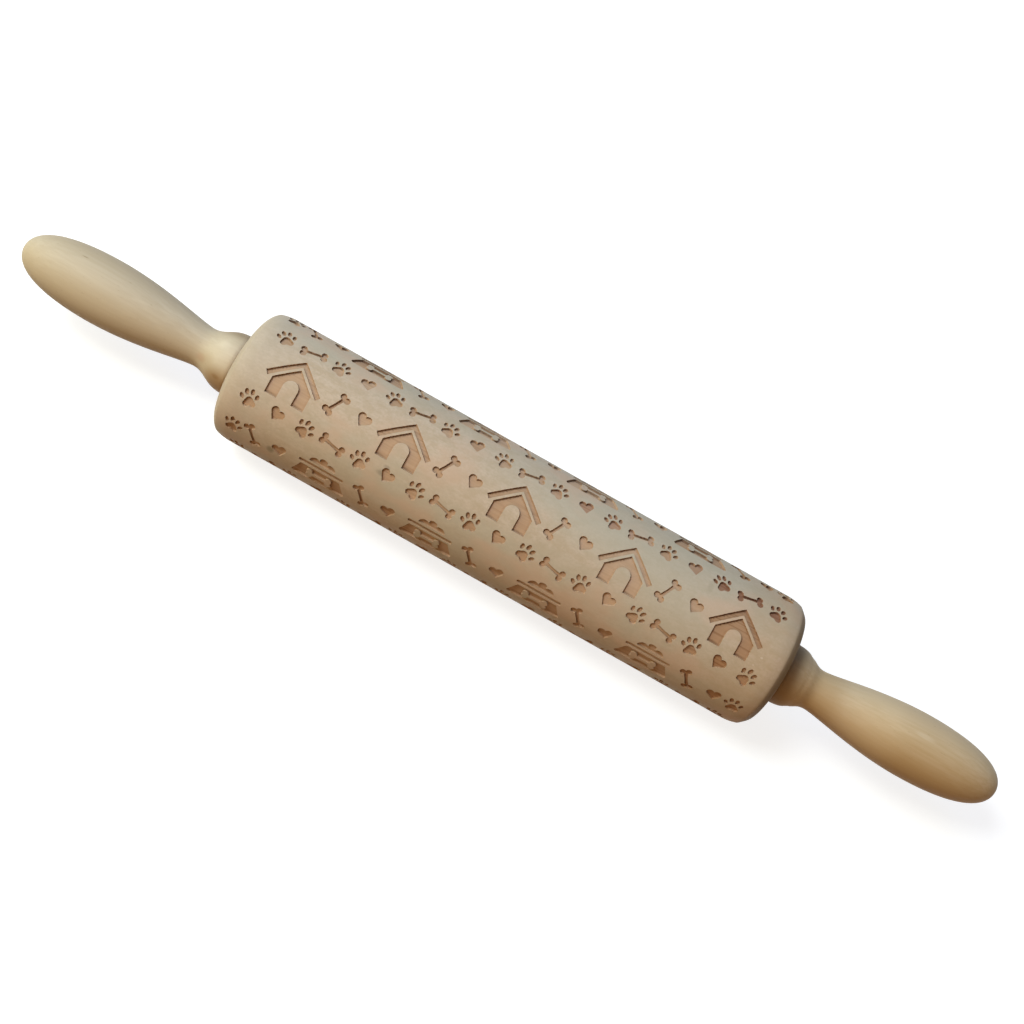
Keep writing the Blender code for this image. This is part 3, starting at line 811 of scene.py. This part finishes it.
RIGHT_HANDLE_MARKS_AND_PAINTED_SHADE = (
    ((0.1600, 0, 0), (0.0220, 0.0400, 0.0400), 0.30, srgb(230, 208, 170)),
    (view_point(0.1813, 23.2, 0.0136), (0.0060, 0.0016, 0.0016), 0.4, srgb(226, 208, 178)),
    # Painted shade: the next two spots darken the neck and, most of all, the collar beside the roller, where
    # the roller's shadow falls
    ((0.1400, 0, 0), (0.0120, 0.0400, 0.0400), 0.35, srgb(180, 146, 94)),
    ((COLLAR_PLACE, 0, 0), (0.0110, 0.0400, 0.0400), 0.75, srgb(112, 86, 52)),
)

# Wood grain: scales of its noises along the grain and across it, and how many rings the ring lines sway
FIBRE_SCALES = (30, 900, 900)
FINE_FIBRE_SCALES = (110, 3600, 3600)
BLOTCH_SCALES = (12, 45, 45)
PORE_SCALES = (420, 2600, 2600)
RING_SWAY_SCALES = (7, 24, 24)
RING_SWAY = 2.6

# Where the pith of each blank lay in Y and Z, how far apart its growth rings are and its place in the noises
ROLLER_PITH = (0.016, -0.050)
ROLLER_RING_SPACING = 0.0042
ROLLER_GRAIN_SEED = (0.3, 0.1, 0.7)
HANDLE_PITH = (0.030, -0.022)
HANDLE_RING_SPACING = 0.0050
LEFT_HANDLE_GRAIN_SEED = (0.9, 0.4, 0.2)
RIGHT_HANDLE_GRAIN_SEED = (0.1, 0.8, 0.5)

# Heights in the view between which the painted shade and painted light on a handle's underside and upper side
# end and begin
UNDERSIDE_HEIGHTS = (-BELLY_RADIUS * 0.8, BELLY_RADIUS * 0.5)
UPPER_SIDE_HEIGHTS = (BELLY_RADIUS * 0.2, BELLY_RADIUS)

# Share of a soft spot's size that is evenly coloured, and depths of the bumps
SOFT_SPOT_CORE = 0.25
WOOD_BUMP = 0.0002
FINE_BUMP = 0.0001


class Nodes:
    """Short calls for building a material from nodes."""

    def __init__(self, name):
        self.material = bpy.data.materials.new(name)
        self.material.use_nodes = True
        self.tree = self.material.node_tree
        self.shader = self.tree.nodes["Principled BSDF"]
        self.output = self.tree.nodes["Material Output"]

    def node(self, kind, inputs=None, **settings):
        """A new node with its inputs set or linked."""
        made = self.tree.nodes.new(kind)
        for name, value in settings.items():
            setattr(made, name, value)
        for name, value in (inputs or {}).items():
            self.put(made.inputs[name], value)
        return made

    def put(self, socket, value):
        """Links another node's output to a socket, or sets the socket's value."""
        if isinstance(value, bpy.types.NodeSocket):
            self.tree.links.new(value, socket)
        else:
            socket.default_value = value

    def surface(self, **values):
        """Links or sets inputs of the material's shader."""
        for name, value in values.items():
            self.put(self.shader.inputs[name.replace("_", " ").title()], value)

    def math(self, operation, first, second=0.0, third=0.0):
        return self.node("ShaderNodeMath", {0: first, 1: second, 2: third}, operation=operation).outputs[0]

    def scaled(self, vector, amounts, shift=(0, 0, 0)):
        inputs = {"Vector": vector, "Scale": amounts, "Location": shift}
        return self.node("ShaderNodeMapping", inputs).outputs[0]

    def noise(self, vector, detail=3.0, roughness=0.55):
        inputs = {"Vector": vector, "Scale": 1.0, "Detail": detail, "Roughness": roughness, "Distortion": 0.0}
        return self.node("ShaderNodeTexNoise", inputs).outputs["Fac"]

    def band(self, value, low, high, start=0.0, end=1.0):
        """The value's stretch from low to high, as start to end, smooth at both ends."""
        made = self.node(
            "ShaderNodeMapRange",
            {"Value": value, "From Min": low, "From Max": high, "To Min": start, "To Max": end},
            interpolation_type="SMOOTHSTEP",
        )
        return made.outputs["Result"]

    def mix(self, share, first, second):
        """A share of the second colour in the first. Inputs 6 and 7 and output 2 are the colour ones."""
        made = self.node("ShaderNodeMix", data_type="RGBA")
        self.put(made.inputs["Factor"], share)
        self.put(made.inputs[6], first)
        self.put(made.inputs[7], second)
        return made.outputs[2]

    def tinted(self, colour, share, strength, tint):
        """The colour with some of the tint: the share times the strength."""
        return self.mix(self.math("MULTIPLY", share, strength), colour, tint)

    def bump(self, height, strength, distance):
        inputs = {"Height": height, "Strength": strength, "Distance": distance}
        return self.node("ShaderNodeBump", inputs).outputs["Normal"]


Grain = namedtuple("Grain", "place fibres fine blotches rings pores")


def grain(nodes, pith, ring_spacing, seed):
    """Fibres, growth rings, pores and slow blotches of a straight-grained wood whose grain runs along X."""
    place = nodes.node("ShaderNodeTexCoord").outputs["Object"]
    shifted = nodes.node("ShaderNodeVectorMath", {0: place, 1: seed}, operation="ADD").outputs[0]
    fibres = nodes.noise(nodes.scaled(shifted, FIBRE_SCALES), detail=5.0, roughness=0.6)
    fine = nodes.noise(nodes.scaled(shifted, FINE_FIBRE_SCALES), roughness=0.5)
    blotches = nodes.noise(nodes.scaled(shifted, BLOTCH_SCALES), roughness=0.5)
    sway = nodes.noise(nodes.scaled(shifted, RING_SWAY_SCALES), detail=2.0)
    parts = nodes.node("ShaderNodeSeparateXYZ", {0: place}).outputs
    sideways = nodes.math("SUBTRACT", parts["Y"], pith[0])
    upwards = nodes.math("SUBTRACT", parts["Z"], pith[1])
    squares = [nodes.math("MULTIPLY", way, way) for way in (sideways, upwards)]
    from_pith = nodes.math("SQRT", nodes.math("ADD", *squares))
    shift = nodes.math("MULTIPLY", sway, RING_SWAY)
    ring_count = nodes.math("MULTIPLY_ADD", from_pith, 1 / ring_spacing, shift)
    wave = nodes.math("COSINE", nodes.math("MULTIPLY", ring_count, math.tau))
    rings = nodes.band(wave, 0.2, 1.0)
    pores = nodes.band(nodes.noise(nodes.scaled(shifted, PORE_SCALES), detail=1.0), 0.70, 0.80)
    return Grain(place, fibres, fine, blotches, rings, pores)


def soft_spot(nodes, place, centre, size):
    """A soft spot round one point of the piece: 1 in its middle and 0 at its edge."""
    offset = nodes.node("ShaderNodeVectorMath", {0: place, 1: centre}, operation="SUBTRACT").outputs[0]
    stretched = nodes.scaled(offset, [1 / part for part in size])
    far = nodes.node("ShaderNodeVectorMath", {0: stretched}, operation="LENGTH").outputs["Value"]
    return nodes.band(far, SOFT_SPOT_CORE, 1.0, 1.0, 0.0)


def marked(nodes, place, colour, marks):
    """The colour with soft spots on it: marks of use, painted light and painted shade."""
    for centre, size, strength, tint in marks:
        colour = nodes.tinted(colour, soft_spot(nodes, place, centre, size), strength, tint)
    return colour


def roller_wood():
    """Bare pale close-grained wood, faintly mottled and handled, with painted shade at the right end and
    painted light at the left end.
    """
    nodes = Nodes("roller_wood")
    wood = grain(nodes, ROLLER_PITH, ROLLER_RING_SPACING, ROLLER_GRAIN_SEED)
    speckle = nodes.noise(nodes.scaled(wood.place, (800, 1100, 1100)), detail=4.0, roughness=0.65)
    mottle = nodes.noise(nodes.scaled(wood.place, (200, 340, 340), (0.4, 0.2, 0.6)))
    clouds = nodes.noise(nodes.scaled(wood.place, (34, 60, 60), (0.2, 0.5, 0.1)), roughness=0.5)
    colour = nodes.mix(nodes.band(wood.fibres, 0.2, 0.8), srgb(198, 179, 156), srgb(205, 186, 165))
    colour = nodes.tinted(colour, nodes.band(speckle, 0.35, 0.70), 0.6, srgb(184, 165, 140))
    colour = nodes.tinted(colour, nodes.band(mottle, 0.38, 0.66), 0.5, srgb(182, 162, 134))
    colour = nodes.tinted(colour, wood.rings, 0.07, srgb(178, 151, 121))
    colour = nodes.tinted(colour, nodes.band(wood.blotches, 0.35, 0.7), 0.65, srgb(185, 177, 157))
    colour = nodes.tinted(colour, nodes.band(clouds, 0.45, 0.65), 0.6, srgb(203, 173, 148))
    colour = nodes.tinted(colour, wood.pores, 0.18, srgb(140, 108, 78))
    colour = marked(nodes, wood.place, colour, ROLLER_MARKS_AND_PAINTED_LIGHT)
    rough = nodes.math("MULTIPLY_ADD", speckle, 0.14, 0.52)
    height = nodes.math("ADD", nodes.math("MULTIPLY", wood.fibres, 0.5), nodes.math("MULTIPLY", speckle, 0.8))
    nodes.surface(base_color=colour, roughness=rough, normal=nodes.bump(height, 0.16, WOOD_BUMP))
    nodes.shader.inputs["Specular IOR Level"].default_value = 0.15
    return nodes.material


def engraved_wood():
    """Pocket floors and walls left by a laser: browner than the skin and charred near the walls, with painted
    shade on the walls that face away from the light.
    """
    nodes = Nodes("engraved_wood")
    wood = grain(nodes, ROLLER_PITH, ROLLER_RING_SPACING, ROLLER_GRAIN_SEED)
    burn = nodes.node("ShaderNodeAttribute", attribute_name="burn").outputs["Fac"]
    scorch_and_shade = nodes.node("ShaderNodeAttribute", attribute_name="scorch_and_shade").outputs["Fac"]
    colour = nodes.mix(nodes.band(wood.fibres, 0.25, 0.75), srgb(183, 152, 123), srgb(196, 166, 137))
    colour = nodes.tinted(colour, nodes.band(wood.blotches, 0.4, 0.65), 0.4, srgb(199, 171, 144))
    colour = nodes.tinted(colour, burn, 0.85, srgb(154, 110, 70))
    streaks = nodes.band(nodes.noise(nodes.scaled(wood.place, (25, 850, 850)), detail=2.0), 0.50, 0.72)
    lines = nodes.math("MULTIPLY", streaks, nodes.math("MULTIPLY_ADD", burn, 0.6, 0.12))
    colour = nodes.mix(lines, colour, srgb(120, 80, 46))
    colour = marked(nodes, wood.place, colour, ENGRAVING_MARKS)
    uneven = nodes.noise(nodes.scaled(wood.place, (900, 900, 900)), detail=2.0)
    # Char near the walls, with painted shade where they face away from the light
    charred_and_shaded = nodes.math("MULTIPLY", scorch_and_shade, nodes.band(uneven, 0.2, 0.8, 0.6, 1.0))
    darkest = nodes.math("MULTIPLY_ADD", burn, 0.15, 0.80)
    colour = nodes.tinted(colour, charred_and_shaded, darkest, srgb(64, 36, 18))
    height = nodes.math("ADD", nodes.math("MULTIPLY", wood.fine, 0.5), wood.fibres)
    rough = nodes.math("MULTIPLY_ADD", wood.fine, 0.15, 0.68)
    nodes.surface(base_color=colour, roughness=rough, normal=nodes.bump(height, 0.2, WOOD_BUMP))
    nodes.shader.inputs["Specular IOR Level"].default_value = 0.2
    return nodes.material


def handle_wood(name, marks, seed, pale, dark, under, over):
    """Oiled wood with soft streaks along the handle, painted light and shade on its lower and upper sides in
    the view, and marks of use and painted spots of light and shade.
    """
    nodes = Nodes(name)
    wood = grain(nodes, HANDLE_PITH, HANDLE_RING_SPACING, seed)
    colour = nodes.mix(nodes.band(wood.fibres, 0.25, 0.75), dark, pale)
    colour = nodes.tinted(colour, wood.rings, 0.3, dark)
    colour = nodes.tinted(colour, nodes.band(wood.blotches, 0.4, 0.7), 0.4, pale)
    parts = nodes.node("ShaderNodeSeparateXYZ", {0: wood.place}).outputs
    upright = nodes.math("MULTIPLY", parts["Z"], math.cos(CAMERA_ELEVATION))
    height = nodes.math("MULTIPLY_ADD", parts["Y"], math.sin(CAMERA_ELEVATION), upright)
    # Painted light and shade: the lower and upper sides in the view take their own tints
    colour = nodes.mix(nodes.band(height, *UNDERSIDE_HEIGHTS, 0.8, 0.0), colour, under)
    colour = nodes.mix(nodes.band(height, *UPPER_SIDE_HEIGHTS, 0.0, 0.9), colour, over)
    colour = nodes.tinted(colour, wood.pores, 0.3, srgb(128, 96, 58))
    colour = marked(nodes, wood.place, colour, marks)
    rough = nodes.math("MULTIPLY_ADD", wood.fine, 0.12, 0.50)
    nodes.surface(base_color=colour, roughness=rough, normal=nodes.bump(wood.fibres, 0.10, WOOD_BUMP))
    nodes.shader.inputs["Specular IOR Level"].default_value = 0.18
    return nodes.material


def plain_metal(name, pale, dark, stretch, roughness):
    """Metal with the fine lines that drawing or turning leaves."""
    nodes = Nodes(name)
    place = nodes.node("ShaderNodeTexCoord").outputs["Object"]
    lines = nodes.noise(nodes.scaled(place, stretch), detail=4.0, roughness=0.6)
    clouds = nodes.noise(nodes.scaled(place, (260, 260, 260)))
    colour = nodes.mix(nodes.band(lines, 0.3, 0.7), dark, pale)
    colour = nodes.tinted(colour, nodes.band(clouds, 0.5, 0.75), 0.3, dark)
    rough = nodes.math("MULTIPLY_ADD", lines, 0.18, roughness)
    nodes.surface(base_color=colour, roughness=rough, normal=nodes.bump(lines, 0.12, FINE_BUMP))
    nodes.shader.inputs["Metallic"].default_value = 1.0
    return nodes.material


def nylon():
    """Natural nylon, slightly cloudy, with faint turning lines."""
    nodes = Nodes("bush_nylon")
    place = nodes.node("ShaderNodeTexCoord").outputs["Object"]
    clouds = nodes.noise(nodes.scaled(place, (180, 180, 180)))
    lines = nodes.noise(nodes.scaled(place, (2400, 160, 160)), detail=2.0)
    colour = nodes.mix(nodes.band(clouds, 0.3, 0.7), srgb(222, 219, 209), srgb(236, 234, 226))
    rough = nodes.math("MULTIPLY_ADD", lines, 0.15, 0.38)
    nodes.surface(base_color=colour, roughness=rough, normal=nodes.bump(lines, 0.10, FINE_BUMP))
    nodes.shader.inputs["Subsurface Weight"].default_value = 0.05
    return nodes.material


# Stage, light and camera


def camera_axes():
    """Right, up and back of the view before the camera is rolled. The pin's right end is a little nearer."""
    rise, turn = CAMERA_ELEVATION, CAMERA_TURN
    along = Vector((1, 0, 0))
    up = Vector((0, math.sin(rise), math.cos(rise)))
    front = Vector((0, -math.cos(rise), math.sin(rise)))
    right = along * math.cos(turn) - front * math.sin(turn)
    back = front * math.cos(turn) + along * math.sin(turn)
    return right, up, back


def make_camera():
    right, up, back = camera_axes()
    across = right * math.cos(CAMERA_ROLL) + up * math.sin(CAMERA_ROLL)
    upwards = up * math.cos(CAMERA_ROLL) - right * math.sin(CAMERA_ROLL)
    lens = bpy.data.cameras.new("camera")
    lens.sensor_width = SENSOR_WIDTH
    lens.lens = SENSOR_WIDTH * FOCAL_PIXELS / PICTURE_WIDTH
    lens.clip_start = CLIP_START
    camera = bpy.data.objects.new("camera", lens)
    pixel = CAMERA_DISTANCE / FOCAL_PIXELS
    aim = across * (-PIN_OFFSET_PIXELS[0] * pixel) + upwards * (PIN_OFFSET_PIXELS[1] * pixel)
    turn = Matrix((across, upwards, back)).transposed().to_4x4()
    camera.matrix_world = Matrix.Translation(aim + back * CAMERA_DISTANCE) @ turn
    bpy.context.scene.collection.objects.link(camera)
    bpy.context.scene.camera = camera


def make_floor():
    """A floor that looks white and keeps shadows, but sends little and warm light up to the pin."""
    nodes = Nodes("floor")
    nodes.shader.inputs["Base Color"].default_value = FLOOR_COLOUR
    nodes.shader.inputs["Roughness"].default_value = FLOOR_ROUGHNESS
    nodes.shader.inputs["Specular IOR Level"].default_value = 0.0
    warm = nodes.node("ShaderNodeBsdfDiffuse", {"Color": (*FLOOR_BOUNCE, 1.0)})
    rays = nodes.node("ShaderNodeLightPath").outputs
    place = nodes.node("ShaderNodeTexCoord").outputs["Object"]
    far = nodes.node("ShaderNodeVectorMath", {0: place}, operation="LENGTH").outputs["Value"]
    strength = nodes.band(far, *FLOOR_LIFT_PLACES, FLOOR_LIFT, FAR_FLOOR_LIFT)
    lift = nodes.node("ShaderNodeEmission", {"Color": (1, 1, 1, 1), "Strength": strength})
    seen = nodes.math("MAXIMUM", rays["Is Camera Ray"], rays["Is Glossy Ray"])
    seen = nodes.math("MAXIMUM", seen, rays["Is Transmission Ray"])
    pale = nodes.node("ShaderNodeAddShader", {0: nodes.shader.outputs[0], 1: lift.outputs[0]})
    mixed = nodes.node("ShaderNodeMixShader", {"Fac": seen, 1: warm.outputs[0], 2: pale.outputs[0]})
    nodes.put(nodes.output.inputs["Surface"], mixed.outputs[0])
    bpy.ops.mesh.primitive_plane_add(size=FLOOR_SIZE, location=(0, 0, -ROLLER_RADIUS))
    floor = bpy.context.object
    floor.name = "floor"
    floor.data.materials.append(nodes.material)


def make_lamp(name, direction, distance, size, power, colour):
    """A square soft lamp that faces the pin's middle. Its direction is in the view's right, up and back."""
    light = bpy.data.lights.new(name, "AREA")
    light.size = size
    light.energy = power
    light.color = colour
    lamp = bpy.data.objects.new(name, light)
    towards = sum((axis * share for axis, share in zip(camera_axes(), direction)), Vector())
    lamp.location = towards.normalized() * distance
    lamp.rotation_mode = "QUATERNION"
    lamp.rotation_quaternion = towards.to_track_quat("Z", "Y")
    bpy.context.scene.collection.objects.link(lamp)


def make_world():
    """A dim soft surround that shows white to the camera, in reflections and through glass."""
    world = bpy.data.worlds.new("studio")
    world.use_nodes = True
    tree = world.node_tree
    soft = tree.nodes["Background"]
    soft.inputs["Color"].default_value = (*WORLD_COLOUR, 1.0)
    soft.inputs["Strength"].default_value = WORLD_STRENGTH
    white = tree.nodes.new("ShaderNodeBackground")
    white.inputs["Color"].default_value = (1.0, 1.0, 1.0, 1.0)
    white.inputs["Strength"].default_value = 1.0
    rays = tree.nodes.new("ShaderNodeLightPath").outputs
    seen = rays["Is Camera Ray"]
    for ray in ("Is Glossy Ray", "Is Transmission Ray"):
        either = tree.nodes.new("ShaderNodeMath")
        either.operation = "MAXIMUM"
        tree.links.new(seen, either.inputs[0])
        tree.links.new(rays[ray], either.inputs[1])
        seen = either.outputs[0]
    mixed = tree.nodes.new("ShaderNodeMixShader")
    tree.links.new(seen, mixed.inputs["Fac"])
    tree.links.new(soft.outputs[0], mixed.inputs[1])
    tree.links.new(white.outputs[0], mixed.inputs[2])
    tree.links.new(mixed.outputs[0], tree.nodes["World Output"].inputs["Surface"])
    bpy.context.scene.world = world


def make_light():
    for lamp in LAMPS:
        make_lamp(*lamp)
    make_world()


def dress_pieces():
    """The finer roller and handles take the solids' places, and the other solids get their materials."""
    roller = make_roller(roller_wood(), engraved_wood())
    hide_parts("roller")
    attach(roller, "roller")
    left_wood = handle_wood(
        "handle_wood_left",
        LEFT_HANDLE_MARKS_AND_PAINTED_LIGHT,
        LEFT_HANDLE_GRAIN_SEED,
        pale=srgb(203, 189, 166),
        dark=srgb(191, 175, 150),
        under=srgb(198, 180, 150),
        over=srgb(184, 166, 139),
    )
    right_wood = handle_wood(
        "handle_wood_right",
        RIGHT_HANDLE_MARKS_AND_PAINTED_SHADE,
        RIGHT_HANDLE_GRAIN_SEED,
        pale=srgb(213, 190, 154),
        dark=srgb(199, 173, 132),
        under=srgb(176, 141, 92),
        over=srgb(210, 186, 151),
    )
    for name, side, wood in (("left", -1, left_wood), ("right", 1, right_wood)):
        handle = make_handle(f"turned_handle_{name}", side, wood)
        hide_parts(f"handle_{name}")
        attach(handle, "axle_and_handles")
    steel = plain_metal("axle_steel", srgb(205, 206, 209), srgb(168, 170, 174), (60, 3000, 3000), 0.22)
    washer = plain_metal("washer_steel", srgb(210, 210, 212), srgb(176, 177, 180), (900, 500, 500), 0.28)
    brass = plain_metal("insert_brass", srgb(226, 194, 128), srgb(192, 154, 88), (3000, 300, 300), 0.25)
    bush = nylon()
    finishes = {"axle": steel}
    for side in ("left", "right"):
        finishes[f"washer_{side}"] = washer
        finishes[f"insert_{side}"] = brass
        finishes[f"bush_{side}"] = bush
    for name, finish in finishes.items():
        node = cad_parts[name]
        node.data.materials.clear()
        node.data.materials.append(finish)


make_camera()
make_floor()
make_light()
dress_pieces()
bpy.context.scene.view_settings.view_transform = "Standard"
